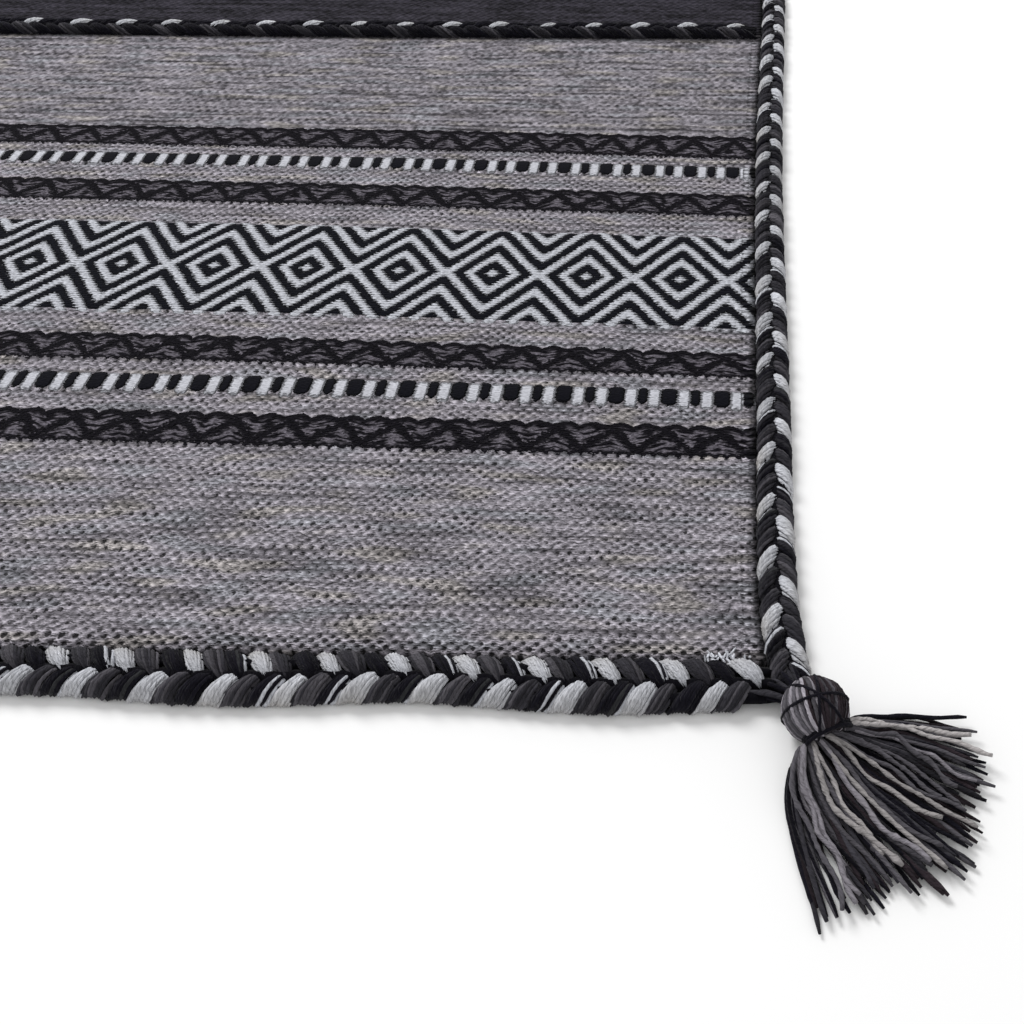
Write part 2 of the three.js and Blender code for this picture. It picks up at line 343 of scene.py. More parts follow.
class Shader:
    """A material under construction."""

    def __init__(self, name, roughness, sheen):
        self.material = bpy.data.materials.new(name)
        self.material.use_nodes = True
        self.tree = self.material.node_tree
        self.bsdf = self.tree.nodes["Principled BSDF"]
        self.bsdf.inputs["Roughness"].default_value = roughness
        self.bsdf.inputs["Specular IOR Level"].default_value = 0.04
        self.bsdf.inputs["Sheen Weight"].default_value = sheen
        self.bsdf.inputs["Sheen Roughness"].default_value = 0.5

    def uv(self):
        """The two UV coordinates as terms."""
        node = self.tree.nodes.new("ShaderNodeUVMap")
        split = self.tree.nodes.new("ShaderNodeSeparateXYZ")
        self.tree.links.new(node.outputs["UV"], split.inputs[0])
        return Term(self.tree, split.outputs[0]), Term(self.tree, split.outputs[1])

    def attribute(self, name):
        node = self.tree.nodes.new("ShaderNodeAttribute")
        node.attribute_name = name
        return node

    def vector(self, x, y, z=0.0):
        node = self.tree.nodes.new("ShaderNodeCombineXYZ")
        for slot, value in zip(node.inputs, (x, y, z)):
            feed(self.tree, value, slot)
        return node.outputs[0]

    def noise(self, x, y, z=0.0, detail=0.0):
        """Smooth noise from 0 to 1 with one lump to each unit."""
        node = self.tree.nodes.new("ShaderNodeTexNoise")
        node.inputs["Scale"].default_value = 1.0
        node.inputs["Detail"].default_value = detail
        self.tree.links.new(self.vector(x, y, z), node.inputs["Vector"])
        return Term(self.tree, node.outputs["Fac"])

    def random(self, x, y):
        """A random number for each whole pair of coordinates."""
        node = self.tree.nodes.new("ShaderNodeTexWhiteNoise")
        self.tree.links.new(self.vector(x, y), node.inputs["Vector"])
        return Term(self.tree, node.outputs["Value"])

    def color(self, rgb):
        node = self.tree.nodes.new("ShaderNodeRGB")
        node.outputs[0].default_value = (*linear(rgb), 1.0)
        return node.outputs[0]

    def mix(self, first, second, share):
        """Colour first where share is 0, second where it is 1."""
        node = self.tree.nodes.new("ShaderNodeMix")
        node.data_type = "RGBA"
        self.tree.links.new(share.socket, node.inputs["Factor"])
        self.tree.links.new(first, node.inputs["A"])
        self.tree.links.new(second, node.inputs["B"])
        return node.outputs["Result"]

    def shade(self, color, amount):
        """Colour times an amount."""
        node = self.tree.nodes.new("ShaderNodeVectorMath")
        node.operation = "SCALE"
        self.tree.links.new(color, node.inputs[0])
        self.tree.links.new(amount.socket, node.inputs["Scale"])
        return node.outputs["Vector"]

    def finish(self, color, height, depth):
        """Sets the base colour, and bumps the surface by height times depth metres."""
        self.tree.links.new(color, self.bsdf.inputs["Base Color"])
        bump = self.tree.nodes.new("ShaderNodeBump")
        bump.inputs["Distance"].default_value = depth
        self.tree.links.new(height.socket, bump.inputs["Height"])
        self.tree.links.new(bump.outputs["Normal"], self.bsdf.inputs["Normal"])
        return self.material


def within(value, low, high):
    """1 where value lies between low and high, which may be terms."""
    return value.above(low) * (1.0 - value.above(high))


def from_nearer_end(s):
    """A distance from the near end, as a distance from whichever end is nearer."""
    return s.mix(RUG_LENGTH - s, s.above(HALF_LENGTH))


# Cloth material


class Weave:
    """Terms that the cloth's formulas share, in millimetres: x from the middle and s from the near end."""

    def __init__(self, shader):
        u, v = shader.uv()
        self.shader = shader
        self.x = u * 1000.0
        self.s = v * 1000.0
        self.from_side = Term(shader.tree, shader.attribute("from_side").outputs["Fac"])

        # Fibres, and picks that wander a little and lie closer in some places
        self.fibre = (self.noise("fibre", self.x, self.s) - 0.5) * 1.1
        self.sway = self.noise("sway", self.x, self.s) * 3.0 - 1.5
        self.drift = self.noise("drift", self.x, self.s) * 5.0 - 2.5
        self.woven_x = self.x + self.sway + self.fibre * 1.8
        self.woven_s = self.s + self.drift + self.fibre * 1.2

        # The far half has the pattern of the near half turned round
        self.near_x = self.x.mix(self.x * -1.0, self.s.above(HALF_LENGTH))
        self.near_s = from_nearer_end(self.s)
        self.beyond = self.near_s.above(CLOSE_FROM)
        self.middle_part = self.near_s.above(PLAIT_FROM_END)

    def noise(self, name, x, s):
        """The noise of that name in CLOTH_NOISE."""
        across, along, depth, detail = CLOTH_NOISE[name]
        return self.shader.noise(x * across, s * along, depth, detail)


def bead_lattice(weave):
    """Weft floats in brick bond: height, pick and random tone of the float on top, and the pit."""
    pick = weave.woven_s / PICK
    low = pick.floor()
    found = []
    pits = []
    for row in (low, low + 1.0):
        along = weave.woven_x / BEAD_PITCH + (row * 0.5).fract()
        tone = weave.shader.random(along.floor(), row)
        aside = along.fract() - 0.5
        lift = pick - row + (tone - 0.5) * 0.3
        dx = aside * (BEAD_PITCH / BEAD_HALF[0])
        dy = lift * (PICK / BEAD_HALF[1])
        found.append((1.0 - dx.squared() - dy.squared(), row, tone))
        end = (0.5 - aside.abs()) * (BEAD_PITCH / PIT_HALF[0])
        off = (pick - row) * (PICK / PIT_HALF[1])
        pits.append(tone + 0.35 - end.squared() - off.squared())
    upper = found[1][0].above(found[0][0])
    return [a.mix(b, upper) for a, b in zip(*found)] + [pits[0].most(pits[1])]


def heather(weave, tone):
    """Lightness of the yarn: fibres, streaks along the weft, and yarn that differs from float to float."""
    beyond = weave.beyond
    streak = weave.noise("streak", weave.x, weave.s * (beyond * -0.22 + 0.42)) - 0.5
    grain = weave.noise("grain", weave.x, weave.s) - 0.5
    light = weave.fibre * (3.6 - beyond * 2.2) + streak * 1.8 + tone * 0.3 + 0.97
    light = light + (grain * 1.5 - 0.27) * beyond
    return light + (streak * 1.2 + 0.08) * weave.middle_part


def shade_in_pits(weave, bead, pick, pit):
    """Painted shade between floats: some picks lie open, with shade in their pits, some are beaten smooth,
    and some part in a line with shade in the crease.
    """
    last = 1.0 - from_nearer_end(pick * PICK - weave.drift).ramp(*LAST_PICKS)
    open_here = weave.noise("opening", weave.x, pick).ramp(0.37, 0.6, 0.3, 1.0).most(last)
    hole = (pit + weave.fibre * 3.4 + last * 0.4).ramp(-0.1, 0.85) * open_here
    between = weave.woven_s / PICK
    parted = weave.noise("parting", weave.x, between.floor()).ramp(0.47, 0.66)
    seam = 1.0 - ((between.fract() - 0.5) * 2.7).squared() + weave.fibre * 1.5
    crease = (seam.ramp(0.0, 1.1) * 0.62).most(0.8 - bead.ramp(0.12, 0.55, 0.0, 0.8)) * parted
    return (hole * 0.93).most(crease) * (1.0 - weave.beyond * 0.75)


def sparse_rows(weave):
    """Painted shade in a row of small pits or a thin parted line here and there, beyond the bands."""
    row = (weave.s + weave.drift) / SPARSE_ROW
    off = (row.fract() - 0.5) * SPARSE_ROW
    aside = ((weave.x + weave.sway) / BEAD_PITCH + row.floor() * 0.5).fract() - 0.5
    across = 1.0 - (off * 0.5 + weave.fibre * 1.5).squared()
    show = weave.noise("showing", weave.x, row.floor()) + weave.near_s.ramp(*SPARSE_FADE, 0.06, -0.06)
    dots = (across - aside.squared() * 11.0 + weave.fibre).ramp(0.0, 0.8) * show.ramp(0.4, 0.58, 0.35, 1.0)
    line = (across - off.squared() * 0.4).ramp(0.0, 0.8) * show.ramp(0.6, 0.68)
    return (dots * 0.62).most(line * 0.6) * weave.beyond * (1.0 - weave.middle_part)


def plain_weave(weave):
    """Colour and height of the grey cloth and of the dark middle section."""
    shader = weave.shader
    bead, pick, tone, pit = bead_lattice(weave)
    tint = weave.noise("tint", weave.x, weave.s)
    warm = tint.ramp(0.55, 0.75) * 0.5
    cool = tint.ramp(0.45, 0.28) * 0.45
    grey = shader.mix(shader.color(WEFT["grey"]), shader.color(WEFT["warm_grey"]), warm)
    grey = shader.mix(grey, shader.color(WEFT["cool_grey"]), cool)
    color = shader.mix(grey, shader.color(WEFT["middle"]), weave.middle_part)
    # Painted shade in the pits and creases between floats, and in the sparse rows beyond the bands
    dark = shade_in_pits(weave, bead, pick, pit).most(sparse_rows(weave))
    # Painted highlight on the top of each float and painted shade at its sides, flatter beyond the bands
    lit_dome = bead.ramp(0.0, 1.0, 0.8, 1.16).mix(1.0, weave.beyond * 0.6)
    color = shader.shade(color, heather(weave, tone).most(0.3) * lit_dome * (1.0 - dark))
    turn = math.pi / PICK
    knobs = (weave.woven_x * turn).cos() * (weave.woven_s * turn).cos()
    return color, knobs * (weave.beyond * 0.35 - 0.8) + weave.fibre * 0.9


def band_place(s, kind, near, far):
    """Distances from both edges of a band of that kind, and 1 inside it. near and far push its edges out."""
    inside = start_here = stop_here = 0.0
    for name, start, stop in BANDS:
        if name == kind:
            here = within(s, start - near, far + stop)
            inside = here + inside
            start_here = here * start + start_here
            stop_here = here * stop + stop_here
    return s - start_here + near, stop_here + far - s, inside


def zigzag_band(weave):
    """Black mounds and a black zigzag over charcoal floats that follow it."""
    shader = weave.shader
    x = weave.near_x
    fibre = weave.fibre
    angle = x * (4 * math.pi / DIAMOND_REPEAT)
    far = (angle.sin().abs() - 0.45) * (angle.cos() * 0.9 + 3.2) + fibre * 2.5
    near = (x * (math.pi / BEAD_PITCH)).sin().abs() * -1.4 + fibre * 4.5 + 0.6
    from_near, to_far, inside = band_place(weave.near_s, "zigzag", near, far)
    share = from_near / (from_near + to_far)
    climb = (((x - DIAMOND_AT) * (2 / DIAMOND_REPEAT)).fract() - 0.5).abs() * 2.0
    line = 1.0 - (share - climb * 0.66 - 0.13 + fibre * 0.4).abs().ramp(0.12, 0.21)
    black = line.most((share - 0.46).abs().ramp(0.26, 0.4))
    wisp = weave.noise("wisp", x, weave.near_s - climb * 4.0).ramp(0.38, 0.58)
    float_share = wisp * (1.0 - black)
    color = shader.mix(shader.color(WEFT["zigzag"]), shader.color(WEFT["zigzag_float"]), float_share)
    lump = (fibre * 2.6 + 1.0).most(0.4)
    return inside, shader.shade(color, lump), black * 0.8 + fibre * 2.4


def keys_band(weave):
    """Black and white pillows in turn, each second black one wide, with painted shade at their sides and
    ends.
    """
    shader = weave.shader
    fibre = weave.fibre
    place = ((weave.near_x + fibre * 2.5 - DIAMOND_AT) * (2 / DIAMOND_REPEAT) + 0.5).fract() - 0.5
    edge = place.abs() * (DIAMOND_REPEAT / 2)
    white = within(edge, KEY_BLACK, KEY_WHITE)
    to_side = (edge - KEY_BLACK).abs().least((edge - KEY_WHITE).abs())
    lean = white * 1.4 - 0.7 + weave.sway * 0.3
    near = lean + fibre * 2.5 + 0.2
    far = fibre * 2.5 - lean + 0.2
    from_near, to_far, inside = band_place(weave.near_s, "keys", near, far)
    corner = (2.9 - white - to_side).most(0.0)
    to_end = from_near.least(to_far) - corner.squared() * 0.34
    mask = inside * to_end.above(0.0)
    # pillow: the key's rounded shape for the bump, and painted shade that darkens its sides and ends
    pillow = to_side.ramp(0.0, 1.3, 0.4, 1.0) * to_end.ramp(-0.4, 1.8, 0.45, 1.0)
    color = shader.mix(shader.color(WEFT["key_black"]), shader.color(WEFT["key_white"]), white)
    return mask, shader.shade(color, pillow * (fibre + 1.0)), pillow * 2.2 + fibre * 0.4


def diamond_band(weave):
    """Nested diamonds in rope-like lines, each pick a step aside of the last, with painted shade where black
    meets white and between picks.
    """
    shader = weave.shader
    fibre = weave.fibre
    start, stop = next((a, b) for kind, a, b in BANDS if kind == "diamonds")
    wander = weave.drift * 0.35
    line = (weave.near_s + wander) / FINE_PICK
    off = line.fract() - 0.5
    row = (line - off * 0.9) * FINE_PICK
    place = ((weave.near_x + fibre * 5.0 - DIAMOND_AT) / DIAMOND_REPEAT + 0.5).fract() - 0.5
    from_middle = (place.squared() + TIP_ROUND).root()
    from_end = ((0.5 - place.abs()).squared() + TIP_ROUND).root()
    nest = (from_middle - from_end) * 4.5 + 2.03 + ((row - (start + stop) / 2) / DIAMOND_STEP).abs()
    edge = ((nest * 0.5).fract() - 0.5).abs() - 0.222 - off.squared() * 0.26
    white = edge.ramp(-0.008, 0.008)
    overlap = white * 2.0 - 0.5
    mask = within(weave.near_s, start - overlap - wander, overlap - wander + stop)
    top = edge.abs().ramp(0.0, 0.09)
    color = shader.mix(shader.color(WEFT["diamond_black"]), shader.color(WEFT["diamond_white"]), white)
    # Painted shade: darker where black meets white and towards the edges of each pick
    lump = (top * 0.4 + 0.62) * (1.0 - off.squared() * 0.3) * (fibre * 1.6 + 1.0)
    return mask, shader.shade(color, lump), top * 1.3 - off.squared() + fibre * 0.6


def selvage(weave, color, height):
    """Colour and height with the weft turned back round thick cords along the sides, with painted shade
    between the turns and a painted highlight on their tops.
    """
    turn = ((weave.s + weave.fibre * 1.5) / CORD_PITCH).fract() - 0.5
    lump = 1.0 - (weave.from_side / CORD_MIDDLE - 1.0).squared() * 0.8 - turn.squared() * 3.4
    share = (weave.from_side + weave.fibre * 3.0).ramp(SELVAGE + 0.6, SELVAGE - 0.6)
    # Painted shade between the cord's turns and painted highlight on their tops
    shade = lump.ramp(-0.2, 0.7, 0.45, 1.12).mix(1.0, 1.0 - share)
    return weave.shader.shade(color, shade), height.mix(lump * 2.2 + weave.fibre * 0.8, share)


def cloth_material():
    shader = Shader("woven_cotton", COTTON_ROUGHNESS, CLOTH_SHEEN)
    weave = Weave(shader)
    color, height = plain_weave(weave)
    for band in (zigzag_band, keys_band, diamond_band):
        mask, band_color, band_height = band(weave)
        color = shader.mix(color, band_color, mask)
        height = height.mix(band_height, mask)
    color, height = selvage(weave, color, height)
    return shader.finish(color, height, CLOTH_BUMP)


# Other materials


def yarn_material():
    """Soft two-ply cotton: U runs round a yarn and V along it, and its colour is the attribute yarn."""
    shader = Shader("cotton_yarn", COTTON_ROUGHNESS, YARN_SHEEN)
    u, v = shader.uv()
    tint = shader.attribute("yarn").outputs["Color"]
    seed = Term(shader.tree, shader.attribute("yarn").outputs["Alpha"])
    along = v * 1000.0
    ply = (u * 2.0 + along / 4.2 + seed).fract()
    groove = (ply - 0.5).abs().ramp(0.5, 0.25)
    fibre = shader.noise(u * 7.0 + along * 0.9, along * 0.6, seed * 50.0, 2.0)
    fuzz = shader.noise(u * 5.0, along * 0.35, seed * 90.0)
    # Painted shade in the groove between the two plies
    shade = (0.35 + fibre * 0.9 + fuzz * 0.4) * groove.ramp(0.0, 1.0, 0.86, 1.0)
    return shader.finish(shader.shade(tint, shade), groove * 0.3 + fibre, YARN_BUMP)


def floor_material():
    shader = Shader("pale_floor", 0.9, 0.0)
    shader.bsdf.inputs["Base Color"].default_value = (*[FLOOR["tone"]] * 3, 1.0)
    return shader.material


# Outline of the rug, in millimetres


def side_outer(y):
    """Outer edge of the right side braid."""
    from_end = y + HALF_LENGTH
    phase = 2 * np.pi * (from_end - SIDE_WAVE["low_at"]) / SIDE_WAVE["length"]
    near = np.exp(-np.maximum(from_end, 0) / CORNER_FLARE["fade"])
    far = np.exp(-np.maximum(HALF_LENGTH - y, 0) / CORNER_FLARE["fade"])
    return HALF_WIDTH - SIDE_WAVE["size"] * np.cos(phase) + CORNER_FLARE["size"] * (near + far)


def side_inner(y):
    return side_outer(y) - SIDE_BRAID["width"]


def end_outer(x):
    """Outer edge of an end braid, as a distance from the middle of the rug."""
    phase = 2 * np.pi * (x - END_RIPPLE["high_at"]) / END_RIPPLE["length"]
    return HALF_LENGTH + END_RIPPLE["size"] * np.cos(phase)


def weft_y(x, from_end):
    """Y of a weft line at that distance from the near end."""
    near = from_end <= HALF_LENGTH
    distance = np.where(near, from_end, RUG_LENGTH - from_end)
    at, slope = zip(*BOW)
    bow = np.interp(distance, at, slope) * (x * x - BOW_AT**2) / (2 * BOW_AT)
    y = -HALF_LENGTH + distance + bow
    return np.where(near, y, -y)


# Mesh building


def mesh_object(name, points, faces, corner_uv, material, yarn=None, from_side=None):
    """A smooth object from points in millimetres, lists of faces and a UV for each face corner."""
    mesh = bpy.data.meshes.new(name)
    mesh.from_pydata((np.asarray(points) * MM).tolist(), [], [list(f) for group in faces for f in group])
    layer = mesh.uv_layers.new(name="UVMap")
    layer.data.foreach_set("uv", np.ascontiguousarray(corner_uv, np.float32).ravel())
    if from_side is not None:
        distance = mesh.attributes.new("from_side", "FLOAT", "POINT")
        distance.data.foreach_set("value", np.ascontiguousarray(from_side, np.float32))
    if yarn is not None:
        colors = mesh.color_attributes.new("yarn", "FLOAT_COLOR", "POINT")
        colors.data.foreach_set("color", np.ascontiguousarray(yarn, np.float32).ravel())
    mesh.polygons.foreach_set("use_smooth", [True] * len(mesh.polygons))
    mesh.materials.append(material)
    mesh.update()
    obj = bpy.data.objects.new(name, mesh)
    bpy.context.scene.collection.objects.link(obj)
    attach(obj, "root")
    return obj


class Bundle:
    """Yarns gathered as tubes along paths."""

    def __init__(self, sides):
        self.sides = sides
        self.points = []
        self.quads = []
        self.caps = []
        self.quad_uv = []
        self.cap_uv = []
        self.colors = []
        self.count = 0

    def add(self, path, radius, color, reference, taper=0.6):
        """path is (yarns, steps, 3), color (yarns, 3) or one for each step, and reference one vector."""
        yarns, steps, _ = path.shape
        sides = self.sides
        tangent = np.gradient(path, axis=1)
        tangent /= np.linalg.norm(tangent, axis=2, keepdims=True) + 1e-9
        one = np.cross(tangent, np.broadcast_to(reference, tangent.shape))
        one /= np.linalg.norm(one, axis=2, keepdims=True) + 1e-9
        two = np.cross(tangent, one)
        angle = 2 * np.pi * np.arange(sides) / sides
        size = np.array(np.broadcast_to(radius, (yarns, steps)), float)
        size[:, [0, -1]] *= taper
        ring = one[:, :, None] * np.cos(angle)[:, None] + two[:, :, None] * np.sin(angle)[:, None]
        points = path[:, :, None] + ring * size[:, :, None, None]
        length = np.zeros((yarns, steps))
        length[:, 1:] = np.cumsum(np.linalg.norm(np.diff(path, axis=1), axis=2), axis=1)

        index = self.count + np.arange(yarns * steps * sides).reshape(yarns, steps, sides)
        turn = np.roll(index, -1, axis=2)
        quad = np.stack([index[:, :-1], turn[:, :-1], turn[:, 1:], index[:, 1:]], -1)
        self.quads.append(quad.reshape(-1, 4))
        low = np.broadcast_to(length[:, :-1, None] * MM, quad.shape[:3])
        high = np.broadcast_to(length[:, 1:, None] * MM, quad.shape[:3])
        left = np.broadcast_to(np.arange(sides) / sides, quad.shape[:3])
        right = left + 1 / sides
        uv = np.stack([left, low, right, low, right, high, left, high], -1)
        self.quad_uv.append(uv.reshape(-1, 2))
        self.caps += [index[:, 0, ::-1], index[:, -1]]
        self.cap_uv.append(np.tile([0.5, 0.0], (2 * yarns * sides, 1)))
        color = np.broadcast_to(color if np.ndim(color) == 3 else color[:, None], (yarns, steps, 3))
        seed = np.broadcast_to(rng.random((yarns, 1, 1)), (yarns, steps, 1))
        shade = np.concatenate([np.clip(color, 0, 1), seed], 2)
        self.colors.append(np.repeat(shade.reshape(-1, 4), sides, 0))
        self.points.append(points.reshape(-1, 3))
        self.count += yarns * steps * sides

    def build(self, name, material, slot, turned=False, mirrored=False):
        """The object of all the yarns, mirrored to the other side or turned to the other end if asked."""
        points = np.concatenate(self.points)
        faces = [np.concatenate(self.quads), np.concatenate(self.caps)]
        uv = np.concatenate(self.quad_uv + self.cap_uv)
        if mirrored:
            points = points * (-1, 1, 1)
            faces = [f[:, ::-1] for f in faces]
            quads = 4 * len(faces[0])
            uv[:quads] = uv[:quads].reshape(-1, 4, 2)[:, ::-1].reshape(-1, 2)
        if turned:
            points = points * (-1, -1, 1)
        return mesh_object(name, points, faces, uv, material, np.concatenate(self.colors))


# Yarn colours


def tone(name, yarns, spread):
    """Linear colour of some yarns of one name, each a little lighter or darker."""
    return linear(YARN[name])[None] * np.clip(rng.normal(1.0, spread, (yarns, 1)), 0.5, 1.6)


def mixed_tones(yarns, parts):
    """Linear colour of some yarns, each by its own throw of the dice."""
    dice = rng.random((yarns, 1))
    color = np.zeros((yarns, 3))
    for low, high, name, spread, strength in parts:
        color = np.where((dice >= low) & (dice < high), tone(name, yarns, spread) * strength, color)
    return color


def lobe_color(kind, yarns):
    """Colours of one lobe's yarns. A black lobe often has thin pale yarns at its side."""
    if kind == "white":
        return tone("white", yarns, 0.05) * rng.normal(0.98, 0.06)
    if kind == "dark":
        return mixed_tones(yarns, DARK_LOBE_MIX)
    color = tone("black", yarns, 0.2)
    if kind == "soft":
        color = np.where(rng.random((yarns, 1)) < 0.6, tone("charcoal", yarns, 0.2) * 0.8, color)
    if kind != "plain" and rng.random() < 0.6:
        color[-1] = linear(YARN["white"]) * 0.9
        color[-3] = linear(YARN["white"]) * (0.9 if rng.random() < 0.6 else 0.05)
    return color


# Braids and plaits


def clear_of_heads(path, radius):
    """Pushes a path out of the four tassel heads."""
    centre = np.array([HEAD["x"], -HEAD["y"], HEAD["z"]])
    sign = np.where(path < 0, -1.0, 1.0)
    sign[..., 2] = 1.0
    from_centre = path * sign - centre
    distance = np.linalg.norm(from_centre, axis=-1, keepdims=True)
    room = HEAD["radius"] + radius
    pushed = (centre + from_centre * room / (distance + 1e-9)) * sign
    return np.where(distance < room, pushed, path)


def braid_bundle(spec, reach, place, along, kinds, base=0.0, wide=None):
    """Two rows of leaning lobes as far as reach each way. place(run, across, up) gives points in space."""
    bundle = Bundle(BRAID_SIDES)
    knots = np.linspace(0, 1, len(OUTER_LOBE["up"]))
    yarns = spec["yarns"]
    pitch = spec["pitch"]
    slant = spec["slant"]
    spread = np.linspace(-1, 1, yarns)[:, None]
    t = 0.5 + (knots - 0.5) * (1 - LOBE["shorter"] * spread**2)
    first = spec["white_at"] - slant / 2
    before = math.ceil((-reach - first) / pitch) - 2
    after = math.floor((reach - first) / pitch) + 2
    for row, shape in enumerate((OUTER_LOBE, INNER_LOBE)):
        swell = np.interp(t, knots, wide or shape["wide"])
        for number in range(before, after):
            at = first + (number + 0.5 * row) * pitch
            if at + min(0.0, slant) < -reach or at + max(0.0, slant) > reach:
                continue
            at += rng.normal(0, LOBE["uneven_place"]) * pitch
            bulk = rng.normal(1.0, LOBE["uneven_bulk"])
            kind = kinds[row][(number + 2 * row) % len(kinds[row])]
            run = at + slant * t + spread * pitch * LOBE["fan"] * swell * bulk
            up = np.interp(t, knots, shape["up"]) * bulk - LOBE["lower"] * spread**2 * swell
            up = np.clip(up + rng.normal(0, LOBE["uneven_up"], (yarns, 1)), 0.1, 1.08)
            across = np.interp(t, knots, shape["across"]) + rng.normal(0, LOBE["uneven_across"], (yarns, 1))
            height = np.maximum(up * spec["height"] - spec["radius"] * 0.7, spec["radius"])
            path = place(run, across, base + height)
            color = lobe_color(kind, yarns)
            # Painted shade: a white lobe gets darker and warmer towards its low end, by a random amount
            if kind == "white":
                shade_low = (1 - t)[..., None] ** 1.5 * rng.uniform(0.4, 1.1)
                color = color[:, None] * (1 - shade_low * np.array(LOW_END_SHADE))
            bundle.add(clear_of_heads(path, 0.4), spec["radius"] * bulk, color, along)
    return bundle


def add_core(bundle, spec, reach, place, base=0.0):
    """Black yarns that fill the braid under its lobes."""
    run = np.linspace(-reach, reach, CORE_STEPS)[None]
    black = tone("black", 1, 0.0) * 0.5
    for across, up, share in BRAID_CORE:
        radius = share * spec["height"]
        height = base + max(up * spec["height"], radius)
        path = place(run, np.full_like(run, across), np.full_like(run, height))
        bundle.add(clear_of_heads(path, radius), radius, black, UPRIGHT)


def end_place(run, across, up):
    inner = CLOTH_END + GAP / 2
    return np.stack([run, -(inner + across * (end_outer(run) - inner)), up], -1)


def side_place(run, across, up):
    return np.stack([side_inner(run) + GAP / 2 + across * SIDE_BRAID["width"], run, up], -1)


def plait_place(run, across, up):
    y = weft_y(run, PLAIT_FROM_END) + PLAIT["width"] * (0.5 - across)
    return np.stack([run, y, up], -1)


def make_edge_braid(side, turned, material, spec, place, along, kinds, wide=None):
    bundle = braid_bundle(spec, spec["lobes_to"], place, along, kinds, 0.0, wide)
    add_core(bundle, spec, spec["core_to"], place)
    obj = bundle.build(f"braid_{side}_yarn", material, "braid_yarn", turned)
    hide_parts(f"braid_{side}")


def make_plait(side, turned, material):
    base = CLOTH_THICK + GAP
    inner = float(side_inner(np.array(PLAIT_FROM_END - HALF_LENGTH)))
    reach = inner - PLAIT["short_of_braid"]
    bundle = braid_bundle(PLAIT, reach, plait_place, X_AXIS, PLAIT_KINDS, base)
    add_core(bundle, PLAIT, reach - PLAIT["core_inside"], plait_place, base)
    obj = bundle.build(f"plait_{side}_yarn", material, "plait_yarn", turned)
    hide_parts(f"plait_{side}")


def make_braids(material):
    for side, turned in (("near", False), ("far", True)):
        make_edge_braid(side, turned, material, END_BRAID, end_place, X_AXIS, END_KINDS)
        make_plait(side, turned, material)
    for side, turned in (("right", False), ("left", True)):
        make_edge_braid(side, turned, material, SIDE_BRAID, side_place, Y_AXIS, SIDE_KINDS, SIDE_WIDE)


# Cloth


def cloth_rows():
    """Distances of the mesh's rows from the near end, two at each edge of a band, and the rise of each."""
    marks = [END_BRAID["width"] + GAP / 2, HALF_LENGTH]
    for _, start, stop in BANDS:
        marks += [start - BAND_EDGE, start + BAND_EDGE, stop - BAND_EDGE, stop + BAND_EDGE]
    marks = sorted(marks)
    near = []
    for a, b in zip(marks, marks[1:]):
        near += list(np.linspace(a, b, max(1, math.ceil((b - a) / CLOTH_STEP)), endpoint=False))
    near = np.array(near)
    rows = np.concatenate([near, [HALF_LENGTH], (RUG_LENGTH - near)[::-1]])
    folded = np.minimum(rows, RUG_LENGTH - rows)
    rise = np.zeros(len(rows))
    for kind, start, stop in BANDS:
        rise[(folded > start) & (folded < stop)] = BAND_RISE[kind]
    return rows[:, None], rise[:, None]


def closed_sheet(top):
    """A closed sheet from the grid of points of its top: its points, its faces, and the grid point of each.

    The underside has only the points of the rim, on the floor.
    """
    index = np.arange(top[..., 0].size).reshape(top.shape[:2])
    top = top.reshape(-1, 3)
    rim = np.concatenate([index[0, :-1], index[:-1, -1], index[-1, :0:-1], index[:0:-1, 0]])
    below = np.full(len(top), -1)
    below[rim] = len(top) + np.arange(len(rim))
    lower = below[index]
    points = np.concatenate([top, top[rim] * (1, 1, 0)])
    upper = np.stack([index[:-1, :-1], index[:-1, 1:], index[1:, 1:], index[1:, :-1]], -1).reshape(-1, 4)
    wall = np.stack([rim, below[rim], np.roll(below[rim], -1), np.roll(rim, -1)], -1)
    first = [*lower[0], lower[1, -1], lower[1, 0]]
    last = [*lower[-1, ::-1], lower[-2, 0], lower[-2, -1]]
    middle = np.stack([lower[1:-2, 0], lower[1:-2, -1], lower[2:-1, -1], lower[2:-1, 0]], -1)
    faces = [upper, wall, [first[::-1], last[::-1]], middle[:, ::-1]]
    return points, faces, np.concatenate([np.arange(len(top)), rim])


def make_cloth(material):
    """The sheet with its raised bands, which follows the wavy edges."""
    rows, rise = cloth_rows()
    right = side_inner(rows - HALF_LENGTH) - GAP / 2
    left = GAP / 2 - side_inner(HALF_LENGTH - rows)
    x = left + (right - left) * np.linspace(0, 1, CLOTH_COLUMNS + 1)
    rows = np.broadcast_to(rows, x.shape)
    y = weft_y(x, rows)
    swell = SWELL * np.sin(x / 61 + y / 97) * np.sin(y / 53 - x / 140)
    points, faces, source = closed_sheet(np.stack([x, y, CLOTH_THICK + rise + swell], -1))
    corner = source[np.concatenate([np.ravel(face) for group in faces for face in group])]
    uv = np.stack([x, rows], -1).reshape(-1, 2)[corner] * MM
    from_side = np.minimum(x - left, right - x).ravel()[source]
    obj = mesh_object("rug_cloth_weave", points, faces, uv, material, from_side=from_side)
    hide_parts("rug_cloth")


# Tassels


def ease(t):
    """Smooth step from 0 to 1."""
    return t * t * (3 - 2 * t)


def heading_vector(degrees):
    """Level direction at that angle from the X axis."""
    return np.array([math.cos(math.radians(degrees)), math.sin(math.radians(degrees)), 0.0])


def waves(t, half_waves, yarns):
    """Sine waves along t, with a random number of half waves and a random start for each yarn."""
    number = rng.uniform(*half_waves, (yarns, 1))
    return np.sin(np.pi * t * number + rng.uniform(0, 6.3, (yarns, 1)))


